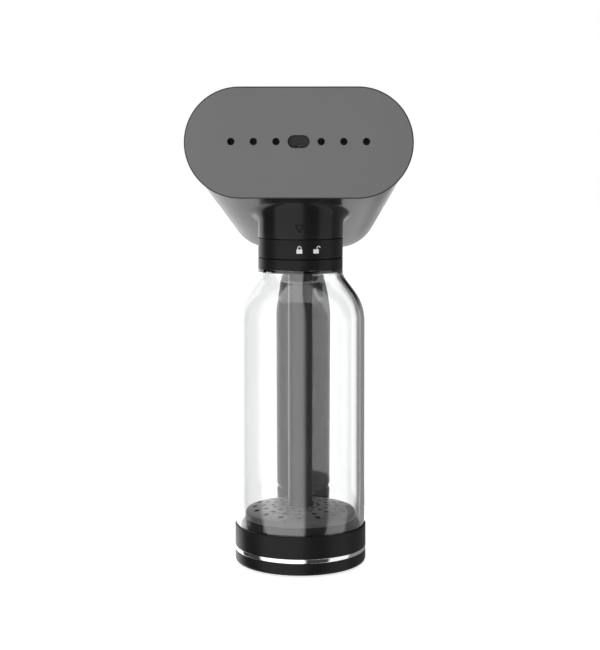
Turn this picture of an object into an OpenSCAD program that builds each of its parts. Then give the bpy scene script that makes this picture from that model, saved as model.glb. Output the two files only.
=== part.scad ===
// Handheld garment steamer that stands on its water tank.
// The origin is on the table, at the middle of the tank.
// +Z is up, -Y is the way the soleplate faces, and X runs along the soleplate.

/* [Soleplate] */
// Width of the soleplate, end to end
plate_w = 111.5; // [100:0.5:120]
// Height of the soleplate
plate_h = 54; // [48:1:58]
// Thickness of the soleplate
plate_t = 3.4; // [2.5:0.1:4]
// Distance from the tank's axis to the soleplate's front
plate_reach = 37; // [36:0.5:39]
// Height of the soleplate's middle above the table
plate_mid = 217.7; // [217:0.1:219]
// Diameter of a steam hole
steam_hole_d = 3.2; // [2:0.1:4]
// Pitch of the steam holes
steam_pitch = 10.95; // [10:0.05:12]
// Height of the row of steam holes above the soleplate's middle
steam_line = 0.6; // [0:0.1:1]
// Width of the middle steam slot
slot_w = 10.3; // [8:0.1:12]
// Height of the middle steam slot
slot_h = 5.9; // [4.5:0.1:7]

/* [Head] */
// Wall thickness of the casings
wall = 2.4; // [2:0.1:2.8]
// Distance from the tank's axis to the middle of the rounded rear
rear_y = 73; // [72:0.5:74]
// Rounding radius of the rear
rear_r = 22; // [21:0.5:22]
// Half distance between the middles of the rear roundings
rear_half = 19; // [18:0.5:20]
// Height of the middle of the lower rear roundings
rear_low = 181; // [180:0.5:182]
// Height of the middle of the upper rear roundings
rear_high = 213; // [211:0.5:215]

/* [Neck and lock ring] */
// Outside radius of the neck, the lock ring and the tank's collar
neck_r = 21.7; // [21.5:0.1:22]
// Height of the joint between the neck and the lock ring
neck_low = 169.7; // [169.5:0.1:170]
// Height of the joint between the lock ring and the tank's collar
ring_low = 159.6; // [159.5:0.1:159.8]
// Turn of the lock ring from locked to open
lock_turn = 22.5; // [22.5:0.5:24]

/* [Tank] */
// Outside radius of the bottle at its foot
bottle_r = 33.6; // [33.4:0.1:33.8]
// Outside radius of the bottle under its shoulder
bottle_top_r = 33.2; // [33:0.1:33.4]
// Wall thickness of the bottle
bottle_wall = 2; // [1.8:0.1:2.4]
// Height at which the shoulder starts
shoulder_low = 126.5; // [126:0.5:127]
// Outside radius of the suction tube
tube_r = 6.25; // [6:0.05:6.3]
// Number of spokes of holes in the filter's cap
filter_spokes = 16; // [8:1:18]

/* [Base] */
// Outside radius of the base
base_r = 34.1; // [34:0.1:35]
// Height of the base's upper edge
base_top = 20.8; // [20:0.1:22]
// Height of the bright band's lower edge
band_low = 7.3; // [6.8:0.1:7.6]
// Height of the bright band's upper edge
band_high = 9.5; // [9.2:0.1:9.8]

/* [Handle] */
// Width of the handle
grip_w = 34.8; // [31:0.1:34.8]
// Front of the handle, measured from the tank's axis
grip_front = 60; // [59:0.5:61]
// Back of the handle, measured from the tank's axis
grip_back = 95; // [94.5:0.5:96]
// Height at which the handle stands on its foot
grip_low = 22; // [21.5:0.5:23]
// Height at which the handle starts to narrow towards the head
grip_waist = 125; // [120:1:127]

/* [Trigger and button] */
// Width of the trigger
trigger_w = 16; // [12:0.5:17]
// Height of the trigger's pivot
trigger_pivot = 154; // [153.5:0.5:154.5]
// Radius of the power button
button_r = 6.5; // [5:0.5:7]

/* [Hidden] */
$fn = 96;

plate_front = -plate_reach;
plate_back = plate_front + plate_t;
trim_back = -30;                  // back of the soleplate's trim, where the casing starts
rim_r = plate_h / 2 - 0.5;        // end radius of the casing's front rim
rim_half = (plate_w - plate_h) / 2; // half distance between the soleplate's end radii
split_y = 77;                     // plane where the rear cover meets the front casings
gap = 0.3;                        // clearance between pieces that move apart
grip_r = grip_w / 2;
grip_neck_r = 15.1;               // half width of the handle where it joins the head
grip_neck_z = 147;
socket_r = 18.3;                  // outside radius of the spigot that the lock ring turns on
ring_in = 20.2;                   // inside radius of the lock ring
collar_tube_r = 19.3;             // radius of the collar's upstand, under its lugs
mouth_r = 16.3;                   // inside radius of the bottle's mouth
mouth_out = 18.5;                 // outside radius of the bottle's mouth
mouth_top = 163;
cup_floor = 11.5;                 // height of the water-side floor of the base cup
spigot_r = 32.3;                  // outside radius of the bottle's foot, inside the cup
filter_top = 27.3;                // height of the filter cap's rim
filter_r = 28.6;
dome_h = 2.5;                     // rise of the filter cap's middle over its rim
lug_half = 10;                    // half angle of a bayonet lug
pad_r = 29;
base_screw_r = 20;                // distance of the base's screws from the axis
neck_screw_r = 11.5;              // the same for the screws in the neck
heater_y = -19.05;                // the heater lies on the back of the steam chamber
heater_top = -13;                 // back of the boss that the heater runs round
pump_y = 68;
pump_low = 178;
coil_low = 190;
coil_h = 12;
hose_r = 3;
hose_bore = 1.8;
suction_z = 184;
wire_x = 5.2;
wire_y = 82;
trigger_y = 68;                   // distance of the trigger's pivot from the tank's axis
switch_low = 129;
spring_z = 144.5;
button_z = 192;
button_face = 95.9;
gland_z = 11;
screw_heights = [40, 112];        // heights of the screws in the handle
head_screws = [[-17, 210], [17, 210], [-17, 183], [17, 183]];
screw_seat = 89;                  // depth at which the head's screws sit in the rear cover
handle_seat = 93.4;               // the same for the handle's screws

function arc(cx, cy, r, a0, a1, n = 8) =
    [for (i = [0:n]) [cx + r * cos(a0 + (a1 - a0) * i / n), cy + r * sin(a0 + (a1 - a0) * i / n)]];

// A flat ring or disc around Z
module ring(r_out, r_in, z0, z1) {
    translate([0, 0, z0])
        linear_extrude(z1 - z0)
            difference() {
                circle(r = r_out);
                if (r_in > 0) circle(r = r_in);
            }
}

// A pie slice of a ring around Z, pointing at -Y
module lug(r_out, r_in, z0, z1) {
    reach = r_out + 2;
    intersection() {
        ring(r_out, r_in, z0, z1);
        translate([0, 0, z0 - 1])
            linear_extrude(z1 - z0 + 2)
                polygon([[0, 0], [-reach * tan(lug_half), -reach], [reach * tan(lug_half), -reach]]);
    }
}

// An upright stadium: ends of radius r, half distance between the ends' middles, from y0 to y1
module stadium(r, half, y0, y1, mid = plate_mid) {
    translate([0, y1, mid])
        rotate([90, 0, 0])
            linear_extrude(y1 - y0) {
                for (side = [-1, 1]) translate([side * half, 0]) circle(r = r);
                square([2 * half, 2 * r], center = true);
            }
}

// A rod along Y
module rod_y(x, z, r, y0, y1) {
    translate([x, y1, z]) rotate([90, 0, 0]) cylinder(r = r, h = y1 - y0);
}

// A wire wound into a coil around Z: rings of points swept along a helix
module coil(coil_r, wire_r, turns, length, sides = 8, steps = 14) {
    count = turns * steps;
    rings = [for (i = [0:count]) let (a = 360 * i / steps)
        [for (j = [0:sides - 1]) let (b = 360 * j / sides, r = coil_r + wire_r * cos(b))
            [r * cos(a), r * sin(a), length * i / count + wire_r * sin(b)]]];
    points = [for (one = rings) for (p = one) p];
    walls = [for (i = [0:count - 1]) for (j = [0:sides - 1]) let (k = (j + 1) % sides)
        [i * sides + j, i * sides + k, (i + 1) * sides + k, (i + 1) * sides + j]];
    ends = [[for (j = [sides - 1:-1:0]) j], [for (j = [0:sides - 1]) count * sides + j]];
    polyhedron(points, concat(walls, ends), convexity = 10);
}

// The head's outer form, pulled in by an inset, from the trim to the rounded rear
module head_form(inset = 0, front = trim_back) {
    hull($fn = 32) {
        stadium(rim_r - inset, rim_half, front, front + 1, $fn = 48);
        for (side = [-1, 1]) {
            translate([side * rear_half, rear_y, rear_low]) sphere(r = rear_r - inset, $fn = 32);
            translate([side * rear_half, rear_y - 1, rear_high]) sphere(r = rear_r - inset, $fn = 32);
        }
    }
}

// How far the handle's front and back pull in where its half width is r
function grip_trim(r) = min(grip_r - r, 1.5);

// One level outline of the handle, pulled in by an inset, for a hull
module grip_slice(r, z, inset) {
    trim = grip_trim(r);
    for (y = [grip_front + trim + r, grip_back - trim - r])
        translate([0, y, z]) cylinder(r = r - inset, h = 0.01, $fn = 40);
}

// The straight part of the handle, from its waist's end up into the head
module grip_neck(r, inset) {
    front = grip_front + grip_trim(r) + r;
    back = grip_back - grip_trim(r) - r;
    translate([0, 0, grip_neck_z])
        linear_extrude(rear_low - grip_neck_z, $fn = 40) {
            for (y = [front, back]) translate([0, y]) circle(r = r - inset);
            translate([inset - r, front]) square([2 * (r - inset), back - front]);
        }
}

// The handle's outer form, pulled in by an inset
module grip_form(inset = 0, low = grip_low) {
    hull() {
        grip_slice(grip_r - 1.4, low, inset);
        grip_slice(grip_r - 0.3, grip_low + 2.5, inset);
        grip_slice(grip_r, grip_waist, inset);
    }
    hull() {
        grip_slice(grip_r, grip_waist, inset);
        grip_slice(grip_neck_r, grip_neck_z, inset);
    }
    grip_neck(grip_neck_r, inset);
}

module front_half() {
    translate([-100, -100, 0]) cube([200, 100 + split_y, 300]);
}

module base_pad() {
    color([0.10, 0.10, 0.10]) ring(pad_r, 0, 0, 1);
}

module base_bottom() {
    edge = 3;
    color([0.13, 0.13, 0.13])
        difference() {
            rotate_extrude()
                difference() {
                    polygon(concat([[0, 0.6]], arc(base_r - edge, 0.6 + edge, edge, -90, 0),
                        [[base_r, band_low], [31.8, band_low], [31.8, 3.6], [0, 3.6]]));
                    square([pad_r, 1]);
                }
            for (a = [0:120:240]) rotate([0, 0, a]) {
                translate([0, base_screw_r, 0]) cylinder(r = 1.6, h = 5);
                translate([0, base_screw_r, 0]) cylinder(r = 3, h = 2.4);
            }
        }
}

module base_screws() {
    color([0.6, 0.6, 0.62])
        for (a = [0:120:240]) rotate([0, 0, a]) {
            translate([0, base_screw_r, 1.2]) cylinder(r = 2.7, h = 1.1);
            translate([0, base_screw_r, 2]) cylinder(r = 1.2, h = 6.6);
        }
}

module chrome_band() {
    color([0.85, 0.86, 0.88]) ring(base_r + 0.05, 31.8, band_low, band_high);
}

module base_cup() {
    color([0.13, 0.13, 0.13])
        difference() {
            union() {
                ring(base_r, spigot_r + 0.1, band_high, base_top);
                ring(spigot_r + 0.2, 0, band_high, cup_floor);
                ring(31.75, 29.8, 4, band_high + 0.1);
                for (a = [0:120:240]) rotate([0, 0, a])
                    translate([0, base_screw_r, 3.6]) cylinder(r = 3.4, h = 6.4);
            }
            for (a = [0:120:240]) rotate([0, 0, a])
                translate([0, base_screw_r, 2]) cylinder(r = 1.25, h = 7.4);
        }
}

module base_seal() {
    color([0.25, 0.25, 0.25]) ring(spigot_r, 30.3, cup_floor, 12.7);
}

module filter_body() {
    color([0.22, 0.22, 0.23])
        rotate_extrude()
            polygon([[0, cup_floor], [29.6, cup_floor], [28.9, 24.8], [27.3, 24.8],
                [27.9, 13], [0, 13]]);
}

module filter_media() {
    color([0.75, 0.70, 0.55]) ring(26.9, 6.6, 13, 23.6);
}

// Height of the filter cap's domed face at a distance r from its middle
function dome(r) = filter_top + dome_h * (1 - pow(r / filter_r, 4));

module filter_cap() {
    steps = 14;
    edge = 1.5;
    reach = filter_r - edge;
    top = [for (i = [0:steps]) [reach * i / steps, dome(reach * i / steps)]];
    under = [for (i = [steps:-1:0]) [reach * i / steps, dome(reach * i / steps) - 2]];
    color([0.22, 0.22, 0.23])
        difference() {
            rotate_extrude()
                polygon(concat(top, [[filter_r, filter_top - 1], [filter_r + 0.25, 24.8],
                    [reach - 0.6, 24.8]], under));
            translate([0, 0, 20]) cylinder(r = 5.05, h = 20);
            for (a = [0:filter_spokes - 1], row = [0:3])
                rotate([0, 0, a * 360 / filter_spokes])
                    translate([9.4 + 4.85 * row, 0, 20])
                        cylinder(r = 0.9 + 0.17 * row, h = 20, $fn = 24);
        }
}

module suction_tube() {
    color([0.20, 0.20, 0.21])
        rotate_extrude()
            polygon(concat([[3.6, 15], [5, 15], [5, dome(0)], [tube_r + 1.6, dome(0)]],
                arc(tube_r + 2, dome(0) + 2.2, 2, 258, 180, 5),
                [[tube_r, 166.6], [tube_r - 0.6, 167.2], [3.6, 167.2]]));
}

module tank_bottle() {
    turn_a = 38;
    big = 26;
    small = 9;
    mid = bottle_top_r - big;
    outer = concat(
        [[spigot_r, 12.7], [spigot_r, base_top], [bottle_r, base_top]],
        arc(mid, shoulder_low, big, 0, turn_a, 10),
        arc(neck_r + small, 153.5, small, 180 + turn_a, 180, 6),
        [[neck_r, 153.9], [mouth_out, 153.9], [mouth_out, mouth_top]]);
    inner = concat(
        [[mouth_r, mouth_top], [mouth_r, 154.2], [neck_r - bottle_wall, 152.2]],
        arc(neck_r + small, 153.5, small + bottle_wall, 193, 180 + turn_a, 6),
        arc(mid, shoulder_low, big - bottle_wall, turn_a, 0, 10),
        [[bottle_r - bottle_wall - 0.2, 22], [30.3, 19.5], [30.3, 12.7]]);
    color([0.90, 0.93, 0.95, 0.35])
        rotate_extrude(convexity = 6) polygon(concat(outer, inner));
}

module tank_collar() {
    color([0.13, 0.13, 0.13]) {
        ring(neck_r, mouth_out, 154, ring_low - gap / 2);
        ring(collar_tube_r, mouth_out, 158, mouth_top);
        for (a = [0:120:240]) rotate([0, 0, a]) lug(20, 18.9, 161, 162.7);
    }
}

module tube_spider() {
    color([0.20, 0.20, 0.21]) {
        ring(mouth_r, 15, 153.4, 157.4);
        ring(7.8, tube_r + 0.02, 153.4, 157.4);
        for (side = [-1, 1])
            translate([-1, side * 11.35 - 4, 153.4]) cube([2, 8, 4]);
    }
}

module mouth_seal() {
    color([0.30, 0.30, 0.30]) ring(mouth_out, mouth_r, mouth_top, mouth_top + 1.2);
}

module lock_ring() {
    color([0.14, 0.14, 0.14]) {
        ring(neck_r, ring_in, ring_low + gap / 2, neck_low - gap / 2);
        ring(20.6, socket_r + 0.05, 167.3, neck_low - gap / 2);
        for (a = [0:120:240]) rotate([0, 0, a]) lug(20.6, 19.5, 159.8, 160.8);
    }
}

// One padlock, drawn flat; the open one has its shackle moved to the right
module padlock(opened) {
    shift = opened ? 1.35 : 0;
    translate([-1.2, -1.9]) square([2.4, 2.1]);
    translate([-1.45, -1.65]) square([2.9, 1.6]);
    for (x = [-1.2, 1.2], y = [-1.65, -0.05]) translate([x, y]) circle(r = 0.25, $fn = 16);
    translate([shift, 0.9])
        intersection() {
            difference() {
                circle(r = 1.0);
                circle(r = 0.6);
            }
            translate([-1, 0]) square([2, 1]);
        }
    translate([shift - 1, -0.1]) square([0.4, 1.01]);
    if (!opened) translate([0.6, -0.1]) square([0.4, 1.01]);
}

module lock_marks() {
    height = (ring_low + neck_low) / 2;
    color([0.80, 0.80, 0.80])
        for (i = [0, 1])
            rotate([0, 0, i * lock_turn])
                intersection() {
                    ring(neck_r + 0.06, neck_r, height - 4, height + 4);
                    translate([0, -15, height])
                        rotate([90, 0, 0]) linear_extrude(10) padlock(i == 1);
                }
}

module ring_clip() {
    color([0.70, 0.70, 0.72])
        difference() {
            ring(19.5, 17.6, 166.2, 167.1);
            translate([-3, -25, 166]) cube([6, 12, 2]);
        }
}

module tank_socket() {
    color([0.16, 0.16, 0.16])
        difference() {
            union() {
                ring(socket_r, 14, mouth_top + 1.5, 170);
                ring(19.4, 8.6, 169.8, 172.6);
            }
            ring(19, 17.6, 166.2, 167.1);
            for (a = [45:90:315]) rotate([0, 0, a])
                translate([neck_screw_r, 0, 168]) cylinder(r = 1.25, h = 6);
        }
}

module inlet_socket() {
    color([0.20, 0.20, 0.21])
        difference() {
            union() {
                ring(8.5, 0, 159, 172.6);
                ring(13.6, 0, 172.6, 174.4);
                translate([0, 0, 173]) cylinder(r = 4, h = suction_z - 173 + 3);
                rod_y(0, suction_z, hose_bore - 0.05, 0, 10);
            }
            translate([0, 0, 158]) cylinder(r = tube_r + 0.08, h = 9.6);
            translate([0, 0, 167]) cylinder(r = 1.5, h = suction_z - 167);
            rod_y(0, suction_z, 1.1, 0, 11);
            ring(7.8, 5, 162.4, 164.2);
            for (a = [45:90:315]) rotate([0, 0, a])
                translate([neck_screw_r, 0, 172]) cylinder(r = 1.4, h = 4);
        }
}

module inlet_seal() {
    color([0.30, 0.30, 0.30])
        translate([0, 0, 163.3])
            rotate_extrude()
                translate([7.06, 0]) circle(r = 0.68, $fn = 24);
}

module neck_screws() {
    color([0.6, 0.6, 0.62])
        for (a = [45:90:315]) rotate([0, 0, a]) {
            translate([neck_screw_r, 0, 174.4]) cylinder(r = 2, h = 1.2);
            translate([neck_screw_r, 0, 169]) cylinder(r = 1.2, h = 6);
        }
}

// The round neck, with a flare tilted to lie along the head's sloping underside
module neck_form() {
    slope = 18;
    flare = 5.2;
    translate([0, 0, neck_low]) cylinder(r = neck_r, h = 20);
    translate([0, 1.6, 181.7])
        rotate([-slope, 0, 0])
            rotate_extrude()
                polygon(concat([[0, -flare], [neck_r - 0.2, -flare]],
                    arc(neck_r - 0.2 + flare, -flare, flare, 180, 90, 6), [[0, 0]]));
}

// The outline of a triangle that points down at the lock ring's marks
module align_mark() {
    difference() {
        polygon([[-2.45, 2.1], [2.45, 2.1], [0, -2.1]]);
        polygon([[-1.65, 1.65], [1.65, 1.65], [0, -1.2]]);
    }
}

// Ribs and posts inside the head: for the rear cover's screws and for the pump
module head_ribs() {
    for (s = head_screws) {
        tall = s[1] > 200;
        rod_y(s[0], s[1], 3.2, 62, split_y);
        translate([s[0] - 1, 62, tall ? s[1] : 150]) cube([2, split_y - 62, tall ? 30 : s[1] - 150]);
    }
    for (side = [-1, 1])
        translate([side * 12.4 - 1, pump_y - 6, 150]) cube([2, 12, coil_low - 0.1 - 150]);
}

module head_shell() {
    color([0.16, 0.16, 0.17])
        difference() {
            union() {
                intersection() {
                    difference() {
                        head_form();
                        head_form(wall, trim_back - 1);
                    }
                    front_half();
                }
                difference() {
                    neck_form();
                    head_form(wall, trim_back - 1);
                }
                intersection() {
                    head_ribs();
                    head_form(wall - 0.5);
                }
            }
            translate([0, 0, neck_low - 1]) cylinder(r = 19.45, h = 3.9);
            translate([0, 0, neck_low]) cylinder(r = 17.6, h = 22);
            intersection() {
                grip_form(wall);
                translate([-20, 50, 150]) cube([40, 50, 20]);
            }
            for (s = head_screws) rod_y(s[0], s[1], 1.25, 64, split_y + 1);
            translate([0, -neck_r + 0.3, 175])
                rotate([90, 0, 0]) linear_extrude(3) align_mark();
        }
}

module rear_cover() {
    color([0.15, 0.15, 0.16])
        difference() {
            union() {
                difference() {
                    head_form();
                    head_form(wall);
                }
                difference() {
                    grip_form();
                    head_form(wall);
                }
                for (s = head_screws) rod_y(s[0], s[1], 3.4, split_y, screw_seat + 4);
                rod_y(0, button_z, button_r + 3.4, 90, 94.2);
            }
            front_half();
            difference() {
                grip_form(wall, grip_low - 1);
                for (z = screw_heights) rod_y(0, z, 3.4, 70, 100);
            }
            rod_y(0, button_z, button_r + 2.2, 92.6, 100);
            rod_y(0, button_z, button_r + 0.25, 80, 100);
            for (s = concat(head_screws, [for (z = screw_heights) [0, z]])) {
                rod_y(s[0], s[1], 1.45, 70, 100);
                rod_y(s[0], s[1], 2.7, s[0] == 0 ? handle_seat : screw_seat, 100);
            }
        }
}

module handle_front() {
    color([0.15, 0.15, 0.16])
        difference() {
            union() {
                difference() {
                    intersection() {
                        grip_form();
                        front_half();
                    }
                    grip_form(wall, grip_low - 1);
                }
                intersection() {
                    grip_form();
                    union() {
                        for (z = screw_heights) rod_y(0, z, 3.2, 61, split_y);
                        for (side = [-1, 1])
                            translate([side * 10.4 - 1.6, 64, trigger_pivot - 3])
                                cube([3.2, 8, 6]);
                        translate([-12.5, 71.2, spring_z - 3]) cube([25, 1.6, 6]);
                    }
                }
            }
            head_form();
            for (z = screw_heights) rod_y(0, z, 1.25, 64, split_y + 1);
            translate([-trigger_w / 2 - 0.4, 50, 129]) cube([trigger_w + 0.8, 21, 28.4]);
            translate([-11.1, trigger_y, trigger_pivot])
                rotate([0, 90, 0]) cylinder(r = 1.5, h = 22.2);
        }
}

module handle_foot() {
    mid = grip_front + grip_r;
    far = grip_back - grip_r;
    color([0.13, 0.13, 0.13])
        difference() {
            union() {
                for (y = [mid, far]) translate([0, y, 0.8]) cylinder(r = grip_r - 1, h = 1.5);
                for (y = [mid, far]) translate([0, y, 2.3]) cylinder(r = grip_r - 0.4, h = 18.4);
                for (y = [mid, far]) translate([0, y, 20.7]) cylinder(r = grip_r - 1.7, h = grip_low - 20.7);
                translate([-grip_r + 1, mid, 0.8]) cube([grip_w - 2, far - mid, 1.5]);
                translate([-grip_r + 0.4, mid, 2.3]) cube([grip_w - 0.8, far - mid, 18.4]);
                translate([-grip_r + 1.7, mid, 20.7]) cube([grip_w - 3.4, far - mid, grip_low - 20.7]);
            }
            for (y = [mid, far]) translate([0, y, 3.2]) cylinder(r = grip_r - 3.4, h = 30);
            translate([-grip_r + 3.4, mid, 3.2]) cube([grip_w - 6.8, far - mid, 30]);
            rod_y(0, gland_z, 5.6, 85, 100);
        }
}

module foot_pad() {
    mid = grip_front + grip_r;
    color([0.10, 0.10, 0.10]) {
        for (y = [mid, grip_back - grip_r]) translate([0, y, 0]) cylinder(r = grip_r - 3, h = 0.8);
        translate([-grip_r + 3, mid, 0]) cube([grip_w - 6, grip_back - grip_r - mid, 0.8]);
    }
}

module cord_gland() {
    color([0.11, 0.11, 0.11])
        difference() {
            union() {
                rod_y(0, gland_z, 5.55, 89, 95);
                rod_y(0, gland_z, 6.6, 87, 89.1);
            }
            rod_y(0, gland_z, 3.6, 80, 100);
        }
}

module soleplate_trim() {
    color([0.08, 0.08, 0.08])
        difference() {
            stadium(rim_r, rim_half, plate_back, trim_back);
            stadium(rim_r - 5, rim_half, plate_back - 1, trim_back + 1);
        }
}

module soleplate() {
    edge = 0.8;
    half = slot_w / 2 - slot_h / 2;
    color([0.42, 0.42, 0.43])
        difference() {
            union() {
                stadium(plate_h / 2 - edge, rim_half, plate_front, plate_back);
                stadium(plate_h / 2 - 0.25, rim_half, plate_front + 0.3, plate_back);
                stadium(plate_h / 2, rim_half, plate_front + edge, plate_back);
            }
            stadium(slot_h / 2, half, plate_front - 1, plate_back + 1, plate_mid + steam_line);
            for (side = [-1, 1], i = [1:3])
                rod_y(side * i * steam_pitch, plate_mid + steam_line, steam_hole_d / 2,
                    plate_front - 1, plate_back + 1);
        }
}

// A cup behind the middle slot, with an arched opening in its floor
module steam_nozzle() {
    half = slot_w / 2 - slot_h / 2;
    line = plate_mid + steam_line;
    color([0.30, 0.30, 0.30])
        difference() {
            stadium(slot_h / 2 + 1.1, half, plate_back, plate_back + 2.6, line);
            stadium(slot_h / 2, half, plate_back - 1, plate_back + 1.6, line);
            intersection() {
                rod_y(0, line - slot_h / 2 + 0.2, 1.7, plate_back, plate_back + 4);
                translate([-3, plate_back, line - slot_h / 2 + 0.2]) cube([6, 4, 4]);
            }
        }
}

module chamber_gasket() {
    color([0.45, 0.20, 0.15])
        difference() {
            stadium(18, rim_half, plate_back, plate_back + 1.2);
            stadium(14.6, rim_half, plate_back - 1, plate_back + 2);
        }
}

module steam_chamber() {
    face = plate_back + 1.2;
    floor_y = -25;
    back_y = -22.3;
    color([0.62, 0.62, 0.60])
        difference() {
            union() {
                difference() {
                    stadium(18, rim_half, face, back_y);
                    stadium(14.6, rim_half, face - 1, floor_y);
                }
                stadium(5.6, rim_half, back_y - 0.1, heater_top);
                for (side = [-1, 1], i = [0:2])
                    translate([side * (i + 1.5) * steam_pitch - 0.8, face, plate_mid - (i % 2 == 0 ? 14.8 : 7.8)])
                        cube([1.6, floor_y - face + 0.2, 22.6]);
            }
            rod_y(0, plate_mid, 2.05, -30, -10);
        }
}

// Half of a ring in the plane of X and Z, that joins the heater's two legs
module heater_bend(r) {
    rotate([0, 90, 0])
        rotate([90, 0, 0])
            rotate_extrude(angle = 180)
                translate([9, 0]) circle(r = r, $fn = 48);
}

module heating_element() {
    color([0.50, 0.50, 0.52]) {
        for (side = [-1, 1])
            translate([-44, heater_y, plate_mid + side * 9])
                rotate([0, 90, 0]) cylinder(r = 3.2, h = 44 + rim_half);
        translate([rim_half, heater_y, plate_mid]) heater_bend(3.2);
    }
}

module insulating_frame() {
    color([0.55, 0.45, 0.35])
        difference() {
            union() {
                stadium(rim_r - 5.2, rim_half, -31.6, -29.9);
                stadium(rim_r - wall - 0.8, rim_half, -29.9, -27);
            }
            stadium(18.05, rim_half, -33, -26);
        }
}

module boiler_inlet() {
    color([0.80, 0.65, 0.35])
        difference() {
            union() {
                rod_y(0, plate_mid, 2, -20, -13);
                rod_y(0, plate_mid, 4, -13, -9.5);
                rod_y(0, plate_mid, hose_bore - 0.05, -9.5, 4);
            }
            rod_y(0, plate_mid, 1.1, -26, 10);
        }
}

module thermostat() {
    color([0.75, 0.75, 0.75]) {
        rod_y(24, plate_mid, 8, -13, -8);
        rod_y(24, plate_mid, 6, -8, -5.5);
        for (side = [-1, 1])
            translate([24 + side * 4 - 0.4, -5.5, plate_mid - 2.5]) cube([0.8, 4, 5]);
    }
}

module thermal_fuse() {
    color([0.90, 0.88, 0.80]) {
        translate([-28, -10.5, plate_mid - 6]) cylinder(r = 2, h = 12);
        for (z = [-5, 3]) translate([-31.5, -13, plate_mid + z]) cube([7, 1, 2]);
        translate([-28, -10.5, plate_mid - 9]) cylinder(r = 0.5, h = 18);
    }
}

module heat_shield() {
    color([0.70, 0.70, 0.72])
        difference() {
            stadium(17, 22, -1, -0.2);
            rod_y(0, plate_mid, 4.4, -2, 1);
            rod_y(-16, plate_mid, 3, -2, 1);
        }
}

module suction_hose() {
    color([0.85, 0.85, 0.85])
        difference() {
            rod_y(0, suction_z, hose_r, 4.2, pump_y - 9);
            rod_y(0, suction_z, hose_bore, 4, pump_y - 8);
        }
}

module pump_body() {
    coil_top = coil_low + coil_h;
    color([0.90, 0.90, 0.88])
        difference() {
            union() {
                translate([0, pump_y, pump_low]) cylinder(r = 9, h = coil_low - pump_low - 0.2);
                translate([0, pump_y, pump_low]) cylinder(r = 6, h = coil_top - pump_low + 2);
                translate([0, pump_y, coil_top + 1.2]) cylinder(r = 9, h = 2.6);
                translate([0, pump_y, coil_top + 3]) cylinder(r = hose_bore - 0.05, h = 4.6);
                rod_y(0, suction_z, hose_bore - 0.05, pump_y - 14, pump_y - 8);
            }
            translate([0, pump_y, pump_low + 4]) cylinder(r = 4.05, h = coil_top - pump_low - 3.5);
            translate([0, pump_y, coil_top]) cylinder(r = 1.1, h = 12);
            rod_y(0, suction_z, 1.1, pump_y - 16, pump_y - 2);
        }
}

module pump_coil() {
    color([0.72, 0.40, 0.18])
        translate([0, pump_y, coil_low + 1])
            difference() {
                cylinder(r = 11.3, h = coil_h - 1);
                translate([0, 0, -1]) cylinder(r = 6.05, h = coil_h + 2);
            }
}

module pump_yoke() {
    color([0.55, 0.56, 0.58])
        difference() {
            translate([-12.8, pump_y - 7, coil_low - 0.1]) cube([25.6, 14, coil_h + 1.2]);
            translate([-11.6, pump_y - 8, coil_low + 1]) cube([23.2, 16, coil_h - 1]);
            translate([0, pump_y, coil_low - 5]) cylinder(r = 6.05, h = 30);
        }
}

module pump_plunger() {
    color([0.60, 0.61, 0.63]) translate([0, pump_y, 187]) cylinder(r = 4, h = 12);
}

module pump_spring() {
    color([0.70, 0.70, 0.72]) translate([0, pump_y, 182.5]) coil(3.3, 0.35, 4, 4.1, 6, 10);
}

module delivery_hose() {
    bend = 8;
    hose_low = coil_low + coil_h + 4;
    color([0.85, 0.85, 0.85])
        difference() {
            union() {
                translate([0, pump_y, hose_low]) cylinder(r = hose_r, h = plate_mid - bend - hose_low);
                hose_turn(hose_r, bend);
                rod_y(0, plate_mid, hose_r, -9.3, pump_y - bend);
            }
            translate([0, pump_y, hose_low - 1])
                cylinder(r = hose_bore, h = plate_mid - bend - hose_low + 1);
            hose_turn(hose_bore, bend);
            rod_y(0, plate_mid, hose_bore, -10, pump_y - bend);
        }
}

// The delivery hose's quarter turn over the pump
module hose_turn(r, bend) {
    translate([0, pump_y - bend, plate_mid - bend])
        rotate([90, 0, 90])
            rotate_extrude(angle = 90)
                translate([bend, 0]) circle(r = r, $fn = 48);
}

module control_board() {
    color([0.10, 0.35, 0.20]) translate([-10, 79, 50]) cube([20, 1.6, 56]);
    color([0.20, 0.20, 0.20]) {
        translate([-7, 70, 84]) cube([14, 9, 18]);
        translate([-8, 72, 54]) cube([16, 7, 8]);
        translate([2, 74, 70]) rotate([-90, 0, 0]) cylinder(r = 4, h = 5);
        translate([-7, 76, 66]) cube([5, 3, 8]);
    }
}

module wiring_loom() {
    color([0.65, 0.10, 0.10])
        for (side = [-1, 1]) {
            translate([side * wire_x, wire_y, 14]) cylinder(r = 1.1, h = 92);
            translate([side * wire_x, wire_y, 119]) cylinder(r = 1.1, h = 79);
        }
}

module microswitch() {
    color([0.12, 0.12, 0.13]) translate([-3, 69.5, switch_low]) cube([6, 6.4, 12.5]);
    color([0.80, 0.20, 0.15]) translate([-1.2, 66.8, switch_low + 3]) cube([2.4, 2.8, 2]);
}

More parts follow.
